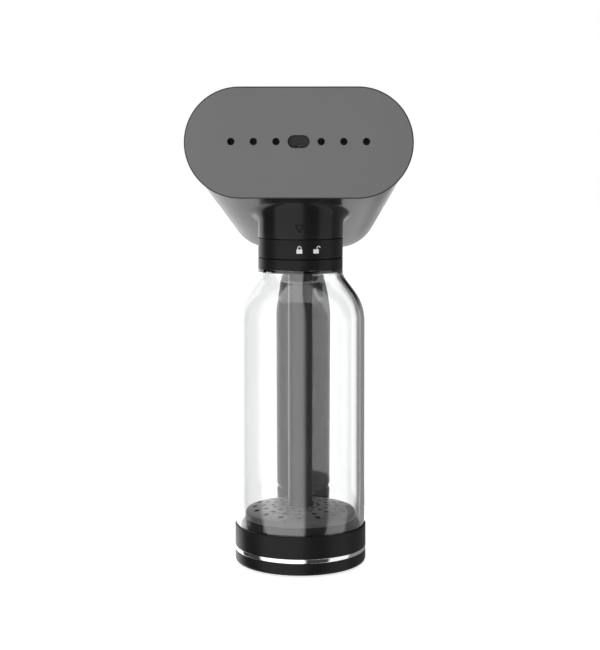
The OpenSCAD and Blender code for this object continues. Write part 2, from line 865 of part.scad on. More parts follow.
// The trigger: a curved plate whose lower edge is a shallow V
module trigger() {
    belly = 57.4;
    tip = 131.4;
    color([0.17, 0.17, 0.18])
        difference() {
            translate([-trigger_w / 2, 0, 0])
                rotate([90, 0, 90])
                    linear_extrude(trigger_w)
                        polygon([[60.5, 156.4], [70.4, 156.4], [70.4, 151.5], [66, 148], [64, 146],
                            [63.4, tip + 1.6], [61.2, tip], [58.6, tip + 2.6], [belly, 140],
                            [belly + 0.4, 148], [59.4, 154]]);
            for (side = [-1, 1])
                translate([0, 80, 0])
                    rotate([90, 0, 0])
                        linear_extrude(40)
                            polygon([[side * 1.5, tip - 1], [side * trigger_w, tip - 1],
                                [side * trigger_w, tip + 8], [side * trigger_w / 2, tip + 4.5],
                                [side * 1.5, tip]]);
            translate([-20, trigger_y, trigger_pivot])
                rotate([0, 90, 0]) cylinder(r = 1.55, h = 40);
            rod_y(0, spring_z, 2.8, 61.6, 70);
        }
}

module trigger_pin() {
    color([0.75, 0.75, 0.77])
        translate([-11, trigger_y, trigger_pivot]) rotate([0, 90, 0]) cylinder(r = 1.49, h = 22);
}

module trigger_spring() {
    color([0.70, 0.70, 0.72])
        translate([0, 62, spring_z]) rotate([-90, 0, 0]) coil(2.1, 0.3, 5, 8.8, 6, 10);
}

module power_button() {
    color([0.20, 0.20, 0.21]) {
        rod_y(0, button_z, button_r, 91.4, button_face);
        rod_y(0, button_z, 2, 89.2, 92);
    }
}

module button_ring() {
    color([0.85, 0.88, 0.92])
        difference() {
            rod_y(0, button_z, button_r + 2.2, 92.6, 94.6);
            rod_y(0, button_z, button_r + 0.3, 92, 96);
        }
}

module button_board() {
    color([0.10, 0.35, 0.20])
        translate([-11, 84.2, button_z - 9]) cube([22, 1.4, 18]);
    color([0.15, 0.15, 0.15])
        translate([-3, 85.6, button_z - 3]) cube([6, 2.6, 6]);
}

module button_spring() {
    color([0.70, 0.70, 0.72])
        translate([0, 86.1, button_z]) rotate([-90, 0, 0]) coil(4.9, 0.35, 3, 4.8, 6, 12);
}

module case_screws() {
    color([0.6, 0.6, 0.62]) {
        for (s = head_screws) {
            rod_y(s[0], s[1], 2.4, screw_seat + 0.05, screw_seat + 1.2);
            rod_y(s[0], s[1], 1.2, 66, screw_seat + 0.6);
        }
        for (z = screw_heights) {
            rod_y(0, z, 2.4, handle_seat + 0.05, handle_seat + 1);
            rod_y(0, z, 1.2, 66, 94);
        }
    }
}

base_pad();
base_bottom();
base_screws();
chrome_band();
base_cup();
base_seal();
filter_body();
filter_media();
filter_cap();
suction_tube();
tank_bottle();
tank_collar();
tube_spider();
mouth_seal();
lock_ring();
lock_marks();
ring_clip();
tank_socket();
inlet_socket();
inlet_seal();
neck_screws();
head_shell();
rear_cover();
soleplate_trim();
soleplate();
steam_nozzle();
chamber_gasket();
steam_chamber();
insulating_frame();
heating_element();
boiler_inlet();
thermostat();
thermal_fuse();
heat_shield();
suction_hose();
pump_body();
pump_coil();
pump_yoke();
pump_plunger();
pump_spring();
delivery_hose();
handle_front();
handle_foot();
foot_pad();
cord_gland();
control_board();
wiring_loom();
microswitch();
trigger();
trigger_pin();
trigger_spring();
power_button();
button_ring();
button_board();
button_spring();
case_screws();
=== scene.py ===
import math

import bmesh
import bpy
import numpy as np
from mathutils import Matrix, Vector


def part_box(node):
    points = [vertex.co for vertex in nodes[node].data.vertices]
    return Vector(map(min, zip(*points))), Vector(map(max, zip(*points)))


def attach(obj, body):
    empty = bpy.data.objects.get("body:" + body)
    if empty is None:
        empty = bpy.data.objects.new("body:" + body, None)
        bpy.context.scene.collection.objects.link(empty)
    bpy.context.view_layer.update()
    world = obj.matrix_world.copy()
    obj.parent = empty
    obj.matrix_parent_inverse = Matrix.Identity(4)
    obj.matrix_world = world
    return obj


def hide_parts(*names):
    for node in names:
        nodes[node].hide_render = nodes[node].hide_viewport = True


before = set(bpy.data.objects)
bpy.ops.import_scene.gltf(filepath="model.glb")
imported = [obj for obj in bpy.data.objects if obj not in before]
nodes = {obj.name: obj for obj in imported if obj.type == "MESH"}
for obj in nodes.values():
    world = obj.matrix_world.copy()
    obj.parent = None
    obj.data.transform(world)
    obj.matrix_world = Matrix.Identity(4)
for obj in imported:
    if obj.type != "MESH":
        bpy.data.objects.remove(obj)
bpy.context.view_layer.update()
milli = 0.001  # the sizes below are in millimetres
print("frame:", len(nodes), "nodes")


def nodeBox(name):  # a node's lowest and highest corners, in millimetres
    low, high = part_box(name)
    return np.array(low) / milli, np.array(high) / milli


# quads between neighbouring points of a grid; a wrapped side also joins its last points to its first
def gridFaces(rows, cols, wrapRows=False, wrapCols=False):
    i = np.arange(rows if wrapRows else rows - 1)[:, None]
    j = np.arange(cols if wrapCols else cols - 1)[None, :]
    nextI, nextJ = (i + 1) % rows, (j + 1) % cols
    corners = [i * cols + j, i * cols + nextJ, nextI * cols + nextJ, nextI * cols + j]
    return np.stack(np.broadcast_arrays(*corners), -1).reshape(-1, 4)


def sheetPart(points, wrapRows=False, wrapCols=False):  # a grid of points, rows x columns x 3, with its quads
    rows, cols = points.shape[:2]
    return points.reshape(-1, 3), gridFaces(rows, cols, wrapRows, wrapCols).tolist()


def finishMesh(mesh, smoothAngle):  # doubles merged, faces turned outwards, smooth up to that angle
    work = bmesh.new()
    work.from_mesh(mesh)
    bmesh.ops.remove_doubles(work, verts=work.verts, dist=2e-6)
    bmesh.ops.dissolve_degenerate(work, edges=work.edges, dist=1e-7)
    bmesh.ops.recalc_face_normals(work, faces=work.faces)
    work.to_mesh(mesh)
    work.free()
    mesh.shade_smooth()
    mesh.set_sharp_from_angle(angle=math.radians(smoothAngle))


def pole(row):  # a row of points drawn together in their middle
    return np.broadcast_to(row.mean(0), row.shape)


def buildPiece(name, parts, smoothAngle=32):  # one object from several lists of points and faces
    points, faces, start = [], [], 0
    for partPoints, partFaces in parts:
        points.append(partPoints)
        faces += [[start + k for k in face] for face in partFaces]
        start += len(partPoints)
    mesh = bpy.data.meshes.new(name)
    mesh.from_pydata((np.concatenate(points) * milli).tolist(), [], faces)
    finishMesh(mesh, smoothAngle)
    piece = bpy.data.objects.new(name, mesh)
    bpy.context.scene.collection.objects.link(piece)
    return piece


# a piece joined with or cut by another closed one, which is then thrown away
def combine(piece, other, how, smoothAngle=32):
    step = piece.modifiers.new(how.lower(), "BOOLEAN")
    step.operation = how
    step.object = other
    step.solver = "EXACT"
    view = bpy.context.evaluated_depsgraph_get()
    mesh = bpy.data.meshes.new_from_object(piece.evaluated_get(view))
    piece.modifiers.clear()
    piece.data = mesh
    bpy.data.objects.remove(other)
    finishMesh(mesh, smoothAngle)
    return piece


# body, slot and the nodes that the piece stands for; its finish is the slot's own unless another is named
def settle(piece, body, slotName, *stoodFor, finish=None):
    piece.data.materials.clear()
    piece.data.materials.append(finishes[finish or slotName])
    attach(piece, body)
    if stoodFor:
        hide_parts(*stoodFor)
    return piece


def paintFaces(piece, finish, chosen):  # a second finish for the faces picked by normal and centre, in mm
    piece.data.materials.append(finish)
    count = len(piece.data.polygons)
    normal, centre = np.empty(count * 3), np.empty(count * 3)
    piece.data.polygons.foreach_get("normal", normal)
    piece.data.polygons.foreach_get("center", centre)
    picked = chosen(normal.reshape(-1, 3), centre.reshape(-1, 3) / milli)
    piece.data.polygons.foreach_set("material_index", picked.astype(np.int32))


# each corner B becomes the curve (1-t)^2 A + 2t(1-t) B + t^2 C, where A and C lie a cut's length from B
# along its two sides
def softCorners(corners, cut, steps=6):
    corner = np.array(corners, float)
    toLast, toNext = np.roll(corner, 1, 0) - corner, np.roll(corner, -1, 0) - corner
    lastLength = np.maximum(np.linalg.norm(toLast, axis=1), 1e-9)
    nextLength = np.maximum(np.linalg.norm(toNext, axis=1), 1e-9)
    reach = np.minimum(np.broadcast_to(cut, len(corner)), 0.48 * np.minimum(lastLength, nextLength))
    first = (corner + toLast * (reach / lastLength)[:, None])[:, None]
    last = (corner + toNext * (reach / nextLength)[:, None])[:, None]
    t = np.linspace(0, 1, steps)[None, :, None]
    return ((1 - t) ** 2 * first + 2 * t * (1 - t) * corner[:, None] + t**2 * last).reshape(-1, 2)


# a closed outline of radius and height turned once around Z: (r cos a, r sin a, h)
def turned(outline, steps=256):
    turn = np.linspace(0, 2 * np.pi, steps, endpoint=False)[None, :]
    r, h = outline[:, 0][:, None], outline[:, 1][:, None]
    return sheetPart(np.stack([r * np.cos(turn), r * np.sin(turn), h + 0 * turn], -1), True, True)


# the same around a line along Y through (x, z): (x + r cos a, h, z + r sin a)
def turnedAlongY(outline, x, z, steps=96):
    points, faces = turned(outline, steps)
    return np.stack([points[:, 0] + x, points[:, 2], points[:, 1] + z], -1), faces


def rodPart(x, z, radius, low, high, steps=96):  # a closed rod along Y, only used to cut holes
    return turnedAlongY(np.array([[0, low], [radius, low], [radius, high], [0, high]]), x, z, steps)


def blockPart(low, high):  # a closed box, only used to cut openings
    corner = np.array([[x, y, z] for z in (0, 1) for y in (0, 1) for x in (0, 1)], float)
    faces = [[0, 1, 3, 2], [4, 5, 7, 6], [0, 1, 5, 4], [2, 3, 7, 6], [0, 2, 6, 4], [1, 3, 7, 5]]
    return np.array(low) + corner * (np.array(high) - np.array(low)), faces


# moulded, cast or pressed stuff: a slow noise drifts the colour and the gloss, and a fine noise is the
# grain's bump
def mouldedFinish(name, look):
    finish = bpy.data.materials.new(name)
    finish.use_nodes = True
    tree = finish.node_tree
    shader = tree.nodes["Principled BSDF"]
    place = tree.nodes.new("ShaderNodeTexCoord").outputs["Object"]
    drift = tree.nodes.new("ShaderNodeTexNoise")
    drift.inputs["Scale"].default_value = look.get("driftScale", 40)
    drift.inputs["Detail"].default_value = 3
    grain = tree.nodes.new("ShaderNodeTexNoise")
    grain.inputs["Scale"].default_value = look.get("grainScale", 1600)
    grain.inputs["Detail"].default_value = 2
    ramp = tree.nodes.new("ShaderNodeValToRGB")
    spread = look.get("spread", 0.08)
    low, high = ramp.color_ramp.elements
    low.position, high.position = 0.3, 0.7
    low.color = [c * (1 - spread) for c in look["colour"]] + [1]
    high.color = [min(c * (1 + spread), 1) for c in look["colour"]] + [1]
    gloss = tree.nodes.new("ShaderNodeMapRange")
    gloss.inputs["From Min"].default_value, gloss.inputs["From Max"].default_value = 0.3, 0.7
    rough = look["rough"]
    gloss.inputs["To Min"].default_value = rough * (1 - look.get("roughSpread", 0.12))
    gloss.inputs["To Max"].default_value = rough * (1 + look.get("roughSpread", 0.12))
    bump = tree.nodes.new("ShaderNodeBump")
    bump.inputs["Strength"].default_value = look.get("bump", 0.25)
    bump.inputs["Distance"].default_value = look.get("bumpDepth", 0.03) * milli
    mixed = look.get("colourFrom", "drift")
    for noise in (drift, grain):
        tree.links.new(place, noise.inputs["Vector"])
    tree.links.new((grain if mixed == "grain" else drift).outputs[0], ramp.inputs["Fac"])
    tree.links.new(ramp.outputs["Color"], shader.inputs["Base Color"])
    tree.links.new(drift.outputs[0], gloss.inputs["Value"])
    tree.links.new(gloss.outputs["Result"], shader.inputs["Roughness"])
    tree.links.new(grain.outputs[0], bump.inputs["Height"])
    tree.links.new(bump.outputs["Normal"], shader.inputs["Normal"])
    for socket in ("Metallic", "Coat Weight", "Coat Roughness", "Transmission Weight", "IOR",
                   "Specular IOR Level", "Emission Strength"):
        if socket in look:
            shader.inputs[socket].default_value = look[socket]
    return finish


# wire wound around Z: bands along Z from a wave, dark in the grooves
def woundFinish(name, look):
    finish = mouldedFinish(name, look)
    tree = finish.node_tree
    shader = tree.nodes["Principled BSDF"]
    wave = tree.nodes.new("ShaderNodeTexWave")
    wave.bands_direction = "Z"
    wave.inputs["Scale"].default_value = look["turnsPerMetre"] / 20
    bump = tree.nodes.new("ShaderNodeBump")
    bump.inputs["Distance"].default_value = 0.1 * milli
    tree.links.new(tree.nodes["Texture Coordinate"].outputs["Object"], wave.inputs["Vector"])
    tree.links.new(wave.outputs["Fac"], bump.inputs["Height"])
    tree.links.new(bump.outputs["Normal"], shader.inputs["Normal"])
    return finish


# clear walls: refracting for the eye and plainly see-through for lamp rays, with a faint ripple
def clearFinish(name, look):
    finish = mouldedFinish(name, look)
    tree = finish.node_tree
    shader = tree.nodes["Principled BSDF"]
    output = tree.nodes["Material Output"]
    path = tree.nodes.new("ShaderNodeLightPath")
    passing = tree.nodes.new("ShaderNodeBsdfTransparent")
    passing.inputs["Color"].default_value = (0.93, 0.94, 0.94, 1)
    mix = tree.nodes.new("ShaderNodeMixShader")
    tree.links.new(path.outputs["Is Shadow Ray"], mix.inputs[0])
    tree.links.new(shader.outputs[0], mix.inputs[1])
    tree.links.new(passing.outputs[0], mix.inputs[2])
    tree.links.new(mix.outputs[0], output.inputs["Surface"])
    return finish


looks = {
    "black_case": {"colour": (0.008, 0.008, 0.0084), "rough": 0.3, "grainScale": 2200, "bump": 0.1,
                   "Specular IOR Level": 0.15},
    "grey_case": {"colour": (0.009, 0.009, 0.0094), "rough": 0.2, "grainScale": 2600, "bump": 0.08,
                  "Specular IOR Level": 0.19},
    "plate_coating": {"colour": (0.112, 0.112, 0.113), "rough": 0.5, "grainScale": 3000, "spread": 0.1,
                      "colourFrom": "grain", "bump": 0.35, "bumpDepth": 0.02},
    # painted shade: a dark finish for edges and hole walls, standing in for the shade that falls on them
    "painted_shade_dark": {"colour": (0.02, 0.02, 0.02), "rough": 0.45, "Specular IOR Level": 0.2},
    # painted shade: near-black for the bottom of the neck's triangle groove, standing in for the shade in it
    "groove_shade": {"colour": (0.005, 0.005, 0.005), "rough": 0.5, "Specular IOR Level": 0.08},
    "chrome": {"colour": (0.93, 0.93, 0.94), "rough": 0.04, "Metallic": 1, "spread": 0.02, "bump": 0.02},
    "grey_filter": {"colour": (0.012, 0.012, 0.0125), "rough": 0.25, "bump": 0.1, "Specular IOR Level": 0.3},
    "filter_face": {"colour": (0.11, 0.11, 0.1105), "rough": 0.3, "bump": 0.1, "Specular IOR Level": 0.5},
    "resin_beads": {"colour": (0.62, 0.52, 0.3), "rough": 0.35, "grainScale": 900, "bumpDepth": 0.3,
                    "bump": 0.8},
    "rubber": {"colour": (0.02, 0.02, 0.02), "rough": 0.7, "grainScale": 1800, "bump": 0.4},
    "red_silicone": {"colour": (0.3, 0.05, 0.03), "rough": 0.55},
    "steel": {"colour": (0.62, 0.62, 0.63), "rough": 0.28, "Metallic": 1, "spread": 0.06},
    "cast_aluminium": {"colour": (0.14, 0.14, 0.138), "rough": 0.6, "Metallic": 1, "grainScale": 700,
                       "bumpDepth": 0.12, "bump": 0.5},
    "brass_fitting": {"colour": (0.22, 0.18, 0.12), "rough": 0.3, "Metallic": 1},
    "white_ceramic": {"colour": (0.8, 0.78, 0.72), "rough": 0.4},
    "brown_frame": {"colour": (0.2, 0.12, 0.06), "rough": 0.6, "grainScale": 500},
    "clear_hose": {"colour": (0.75, 0.75, 0.74), "rough": 0.3, "spread": 0.04},
    "pale_plastic": {"colour": (0.72, 0.72, 0.68), "rough": 0.4},
    "green_board": {"colour": (0.02, 0.12, 0.05), "rough": 0.4, "grainScale": 700, "spread": 0.2},
    "red_wire": {"colour": (0.08, 0.012, 0.012), "rough": 0.4},
    "pale_print": {"colour": (0.6, 0.6, 0.6), "rough": 0.5, "spread": 0.05},
}
finishes = {name: mouldedFinish(name, look) for name, look in looks.items()}
finishes["copper_wire"] = woundFinish("copper_wire", {
    "colour": (0.6, 0.25, 0.1), "rough": 0.3, "Metallic": 1, "turnsPerMetre": 2500})
finishes["clear_tank"] = clearFinish("clear_tank", {
    "colour": (0.985, 0.99, 0.99), "rough": 0.006, "spread": 0.004, "roughSpread": 0.6, "driftScale": 25,
    "bump": 0.02, "bumpDepth": 0.01, "grainScale": 60, "Transmission Weight": 1, "IOR": 1.7})

for node in nodes.values():  # every node's own slot says what it is made of
    slotName = node.material_slots[0].material.name.split(".")[0]
    node.material_slots[0].material = finishes[slotName]
print("finishes:", len(finishes))


def makeBase():
    size = {"shell": 2.3, "floor": 3, "footFlat": 28.9, "footStep": 0.4, "footRound": 3.9, "seam": 0.25,
            "bandEdge": 0.35, "cupWall": 1.7, "cupFloor": 2, "lip": 0.5}
    bottomLow, bottomHigh = nodeBox("base_bottom")
    bandLow, bandHigh = nodeBox("chrome_band")
    cupHigh = nodeBox("base_cup")[1]
    radius, low, high = bottomHigh[0], bottomLow[2], bottomHigh[2]
    inside, flat, step = radius - size["shell"], size["footFlat"], size["footStep"]
    foot = softCorners(
        [[0, low], [flat, low], [flat + step, low + step], [radius, low], [radius, high], [inside, high],
         [inside, low + size["floor"]], [0, low + size["floor"]]],
        [0, 0.2, 0.2, size["footRound"], size["seam"], 0.2, 0.2, 0], 12)
    settle(buildPiece("baseFoot", [turned(foot)]), "tank", "black_case", "base_bottom")

    low, high, radius, edge = bandLow[2], bandHigh[2], bandHigh[0], size["bandEdge"]
    band = softCorners([[inside, low], [radius, low], [radius, high], [inside, high]], [0.1, edge, edge, 0.1])
    settle(buildPiece("baseBand", [turned(band)]), "tank", "chrome", "chrome_band")

    low, high, radius = bandHigh[2], cupHigh[2], cupHigh[0]
    inside, floor = radius - size["cupWall"], low + size["cupFloor"]
    cup = softCorners([[0, low], [radius, low], [radius, high], [inside, high], [inside, floor], [0, floor]],
                      [0, size["seam"], size["lip"], 0.3, 0.4, 0], 8)
    settle(buildPiece("baseCup", [turned(cup)]), "tank", "black_case", "base_cup")


def makeFilter():
    size = {"rise": 2.5, "spokes": 16, "rings": [9.4, 14.25, 19.1, 23.95], "holes": [0.9, 1.07, 1.24, 1.41],
            "thick": 2, "chamfer": 0.12, "collar": 5.05, "perSide": 6, "flare": 0.25, "shoulder": 0.9,
            "rimRound": 1.1, "skirt": 2.1, "mouthOut": 28.9, "mouthIn": 27.3, "footIn": 27.9, "floor": 1.5}
    bodyLow, bodyHigh = nodeBox("filter_body")
    capLow, capHigh = nodeBox("filter_cap")
    rim, rimHeight = capHigh[0] - size["flare"], capHigh[2] - size["rise"]

    def dome(r):  # the face sinks with the fourth power of the distance from its middle
        return rimHeight + size["rise"] * (1 - (r / rim) ** 4)

    # one cell per hole: a square in angle and radius around a round hole, then copied around the axis
    ring = np.array(size["rings"])[:, None]
    hole = np.array(size["holes"])[:, None]
    pitch, span, n = ring[1, 0] - ring[0, 0], np.pi / size["spokes"], size["perSide"]
    side = np.arange(n) / n * 2 - 1
    across = np.concatenate([side, np.ones(n), -side, -np.ones(n)])[None, :] * span
    along = np.concatenate([-np.ones(n), side, np.ones(n), -side])[None, :] * pitch / 2 + ring
    borderX, borderY = along * np.cos(across), along * np.sin(across)
    toward = np.arctan2(borderY, borderX - ring)

    def rowAt(r, lift):  # points of the hole's rim at radius r, on the dome plus a lift
        x, y = ring + r * np.cos(toward), r * np.sin(toward)
        return np.stack([x, y, dome(np.hypot(x, y)) + lift], -1)

    edge = np.stack([borderX, borderY, dome(along)], -1)
    down = np.array([0, 0, -size["thick"]])
    cut = size["chamfer"]
    cell = np.stack([edge + down, rowAt(hole, down[2]), rowAt(hole, -cut), rowAt(hole + cut, 0), edge], 1)
    around = np.arange(size["spokes"]) * 2 * span
    c, s = np.cos(around)[:, None, None, None], np.sin(around)[:, None, None, None]
    cells = np.stack([cell[None, ..., 0] * c - cell[None, ..., 1] * s,
                      cell[None, ..., 0] * s + cell[None, ..., 1] * c,
                      cell[None, ..., 2] + 0 * c], -1).reshape(-1, *cell.shape[1:])
    parts = [sheetPart(one, wrapCols=True) for one in cells]

    turn = (around[:, None] + side[None, :] * span).reshape(-1)[None, :]

    def strip(r, z):  # rings of points at the cells' own angles
        r, z = np.array(r)[:, None], np.array(z)[:, None]
        return np.stack([r * np.cos(turn), r * np.sin(turn), z + 0 * turn], -1)

    inner, outer = ring[0, 0] - pitch / 2, ring[-1, 0] + pitch / 2
    r = np.array([inner, size["collar"], size["collar"], inner])
    drop = np.array([size["thick"], size["thick"], 0, 0])
    parts.append(sheetPart(strip(r, dome(r) - drop), wrapCols=True))
    bend = np.linspace(0, np.pi / 2, 8)
    shoulder, skirt, corner = rim - size["shoulder"], rim - size["skirt"], size["rimRound"]
    r = np.linspace(outer, shoulder, 4)
    rimR = np.concatenate([r, shoulder + corner * np.sin(bend), [capHigh[0], skirt, skirt, outer]])
    below = dome(outer) - size["thick"]
    rimZ = np.concatenate([dome(r), dome(shoulder) - corner * (1 - np.cos(bend)),
                           [capLow[2], capLow[2], below, below]])
    parts.append(sheetPart(strip(rimR, rimZ), wrapCols=True))
    cap = buildPiece("filterCap", parts)
    settle(cap, "tank", "grey_filter", "filter_cap", finish="filter_face")
    # painted shade: the upright walls of the holes and of the middle opening get the dark finish for the shade
    # inside them
    paintFaces(cap, finishes["painted_shade_dark"],
               lambda normal, centre: (np.abs(normal[:, 2]) < 0.5) & (np.hypot(*centre[:, :2].T) < outer))

    low, high, floor = bodyLow[2], bodyHigh[2], bodyLow[2] + size["floor"]
    cup = softCorners([[0, low], [bodyHigh[0], low], [size["mouthOut"], high], [size["mouthIn"], high],
                       [size["footIn"], floor], [0, floor]], [0, 0.3, 0.3, 0.2, 0.3, 0])
    settle(buildPiece("filterCup", [turned(cup)]), "tank", "grey_filter", "filter_body")


def makeTube():
    size = {"radius": 6.25, "bore": 3.6, "flare": 0.6, "flareRise": 2.6, "flareEdge": 0.35, "plug": 5}
    low, high = nodeBox("suction_tube")
    capTop = nodeBox("filter_cap")[1][2]
    radius, flare = size["radius"], size["flare"]
    outline = [[size["bore"], low[2]], [size["plug"], low[2]], [size["plug"], capTop],
               [radius + flare, capTop], [radius + flare * 0.9, capTop + size["flareEdge"]],
               [radius, capTop + size["flareRise"]], [radius, high[2]], [size["bore"], high[2]]]
    cut = [0.1, 0.3, 0.1, 0.1, 0.2, 2.2, 0.7, 0.3]
    pipe = turned(softCorners(outline, cut, 8), 128)
    settle(buildPiece("suctionPipe", [pipe]), "tank", "grey_filter", "suction_tube")


def makeBottle():
    size = {"wall": 2, "shoulder": 126.5, "top": 33.2, "big": 26, "small": 9, "bend": 38, "neck": 21.7,
            "spigot": 18.5, "mouth": 16.3, "inCup": 32.3, "inside": 30.3, "edge": 0.3, "flareFrom": 9.5,
            "ledge": 9.1, "shelf": 8.8, "shelfFoot": 10.8, "innerTurn": 193}
    low, high = nodeBox("tank_bottle")
    cupTop = nodeBox("base_cup")[1][2]
    foot, top, wall, edge = high[0], high[2], size["wall"], size["edge"]
    neck, spigot, mouth = size["neck"], size["spigot"], size["mouth"]

    def arcPoints(x, z, r, first, last, steps=24):  # an arc of a circle around (x, z), in degrees
        a = np.radians(np.linspace(first, last, steps))
        return np.stack([x + r * np.cos(a), z + r * np.sin(a)], -1)

    big, small, bend = size["big"], size["small"], size["bend"]
    bigX, smallX, smallZ = size["top"] - big, neck + small, top - size["flareFrom"]
    rise = np.linspace(0, 1, 12)[:, None]
    sideFoot, sideTop = np.array([foot, cupTop + 0.6]), np.array([size["top"], size["shoulder"] - 2])
    side = sideFoot * (1 - rise) + sideTop * rise
    ledge, inside = top - size["ledge"], size["inside"]
    outer = np.concatenate([
        [[size["inCup"], low[2] + edge], [size["inCup"], cupTop], [foot - 0.4, cupTop]], side,
        arcPoints(bigX, size["shoulder"], big, 0, bend), arcPoints(smallX, smallZ, small, 180 + bend, 180),
        [[neck, ledge], [spigot, ledge], [spigot, top - edge], [spigot - edge, top]]])
    inner = np.concatenate([
        [[mouth + edge, top], [mouth, top - edge], [mouth, top - size["shelf"]],
         [neck - wall, top - size["shelfFoot"]]],
        arcPoints(smallX, smallZ, small + wall, size["innerTurn"], 180 + bend),
        arcPoints(bigX, size["shoulder"], big - wall, bend, 0), (side - [wall, 0])[::-1][1:-1],
        [[foot - wall - edge, cupTop + 1.4], [inside, cupTop - 1.2], [inside, low[2] + edge]]])
    bottle = buildPiece("clearBottle", [turned(np.concatenate([outer, inner]), 320)], 40)
    settle(bottle, "tank", "clear_tank", "tank_bottle")


# a short block bent around Z: its corners in radius and height are carried round through the angle
def lugPart(middle, halfAngle, inner, outer, low, high):
    turn = np.radians(np.linspace(middle - halfAngle, middle + halfAngle, 9))[:, None]
    loop = softCorners([[inner, low], [outer, low], [outer, high], [inner, high]], 0.15, 3)
    r, h = loop[:, 0][None, :], loop[:, 1][None, :]
    rows = np.stack([r * np.cos(turn), r * np.sin(turn), h + 0 * turn], -1)
    return sheetPart(np.concatenate([[pole(rows[0])], rows, [pole(rows[-1])]]), wrapCols=True)


def makeRings():
    size = {"seam": 0.35, "gap": 0.3, "lugs": [-90, 30, 150], "halfLug": 10, "collarStep": 19.3,
            "ringBore": 20.2, "ringLip": 18.4, "lipHeight": 2.2, "lugOut": 20, "lugThick": 1.7,
            "catchIn": 19.5, "catchOut": 20.6, "catchThick": 1}
    low, high = nodeBox("tank_collar")
    spigot = nodeBox("mouth_seal")[1][0]
    ringLow, ringHigh = nodeBox("lock_ring")
    radius, top, seam, step = high[0], ringLow[2] - size["gap"], size["seam"], size["collarStep"]
    collar = softCorners([[spigot, low[2]], [radius, low[2]], [radius, top], [step, top], [step, high[2]],
                          [spigot, high[2]]], [0.1, seam, seam, 0.2, 0.3, 0.1])
    lugTop = high[2] - size["gap"]
    lugs = [lugPart(a, size["halfLug"], spigot + 0.4, size["lugOut"], lugTop - size["lugThick"], lugTop)
            for a in size["lugs"]]
    settle(buildPiece("collarRing", [turned(collar)] + lugs), "tank", "black_case", "tank_collar")
    low, high, bore, lip = ringLow[2], ringHigh[2], size["ringBore"], size["ringLip"]
    under = high - size["lipHeight"]
    ring = softCorners([[bore, low], [radius, low], [radius, high], [lip, high], [lip, under], [bore, under]],
                       [0.2, seam, seam, 0.2, 0.2, 0.2])
    catch = low + 0.05
    lugs = [lugPart(a, size["halfLug"], size["catchIn"], size["catchOut"], catch, catch + size["catchThick"])
            for a in size["lugs"]]
    settle(buildPiece("lockSleeve", [turned(ring)] + lugs), "lock_ring", "black_case", "lock_ring")


makeBase()
makeFilter()
makeTube()
makeBottle()
makeRings()
print("tank: base, filter, tube, bottle, rings")

headSize = {"round": 22, "half": 19, "lowRound": (73, 181), "highRound": (72, 213), "split": 77, "gap": 0.08,
            "seam": 0.25, "wall": 2.4}


# the front rim is a stadium and the rear has four balls; a straight line runs from each rim point to where it
# touches a ball
class HeadShape:
    def __init__(self, inset=0, perQuarter=28):
        low, high = nodeBox("soleplate_trim")
        self.front = high[1]
        self.rim = (high[2] - low[2]) / 2
        self.rimHalf = high[0] - self.rim
        self.middle = (high[2] + low[2]) / 2
        quarter = np.linspace(0, np.pi / 2, perQuarter)
        turn = np.concatenate([quarter + k * np.pi / 2 for k in range(4)])
        side = np.repeat([1, -1, -1, 1], perQuarter)
        upper = np.repeat([True, True, False, False], perQuarter)
        self.out = np.stack([np.cos(turn), np.sin(turn)], -1)
        ballY = np.where(upper, headSize["highRound"][0], headSize["lowRound"][0])
        ballZ = np.where(upper, headSize["highRound"][1], headSize["lowRound"][1])
        self.ball = np.stack([side * headSize["half"], ballZ], -1)
        self.ballY, self.ballR = ballY, headSize["round"] - inset
        rimMiddle = np.stack([side * self.rimHalf, np.full(len(side), self.middle)], -1)
        self.rimPoint = rimMiddle + self.out * (self.rim - inset)
        fall = (self.out * self.ball).sum(1) - (self.out * self.rimPoint).sum(1)
        run = ballY - self.front
        self.lean = np.arctan2(fall, run) + np.arcsin(self.ballR / np.hypot(fall, run))
        self.touchY = ballY - self.ballR * np.sin(self.lean)
        self.touch = self.ball + self.out * (self.ballR * np.cos(self.lean))[:, None]

    # the outline at depth y: on the straight lines, and past them sqrt(r^2 - (y - ballY)^2) out from a ball
    def section(self, y, inset=0):
        share = ((y - self.front) / (self.touchY - self.front))[:, None]
        flat = self.rimPoint * (1 - share) + self.touch * share
        depth = np.clip(self.ballR**2 - (y - self.ballY) ** 2, 0, None)
        onBall = self.ball + self.out * np.sqrt(depth)[:, None]
        flat = np.where(share > 1, onBall, flat) - self.out * inset
        return np.stack([flat[:, 0], np.full(len(flat), float(y)), flat[:, 1]], -1)

    # on the balls: the tilt goes from where the plane of the split cuts them to a right angle
    def rounding(self, share):
        first = np.arcsin((headSize["split"] - self.ballY) / self.ballR)
        tilt = first * (1 - share) + np.pi / 2 * share
        flat = self.ball + self.out * (self.ballR * np.cos(tilt))[:, None]
        return np.stack([flat[:, 0], self.ballY + self.ballR * np.sin(tilt), flat[:, 1]], -1)

    def under(self, x, y):  # height of the underside: the highest of the planes that touch it from below
        below = self.out[:, 1] < -0.05
        out, reach = self.out[below], (self.out * self.rimPoint).sum(1)[below]
        slope = np.tan(self.lean)[below]
        height = reach + (y[..., None] - self.front) * slope
        return ((height - x[..., None] * out[:, 0]) / out[:, 1]).max(-1)

    def solid(self, front):  # closed: from a flat front to the rearmost points
        rows = [self.section(y) for y in np.linspace(front, headSize["split"], 12)]
        rows += [self.rounding(t) for t in np.linspace(0.06, 1, 16)]
        return sheetPart(np.stack([pole(rows[0])] + rows + [pole(rows[-1])]), wrapCols=True)


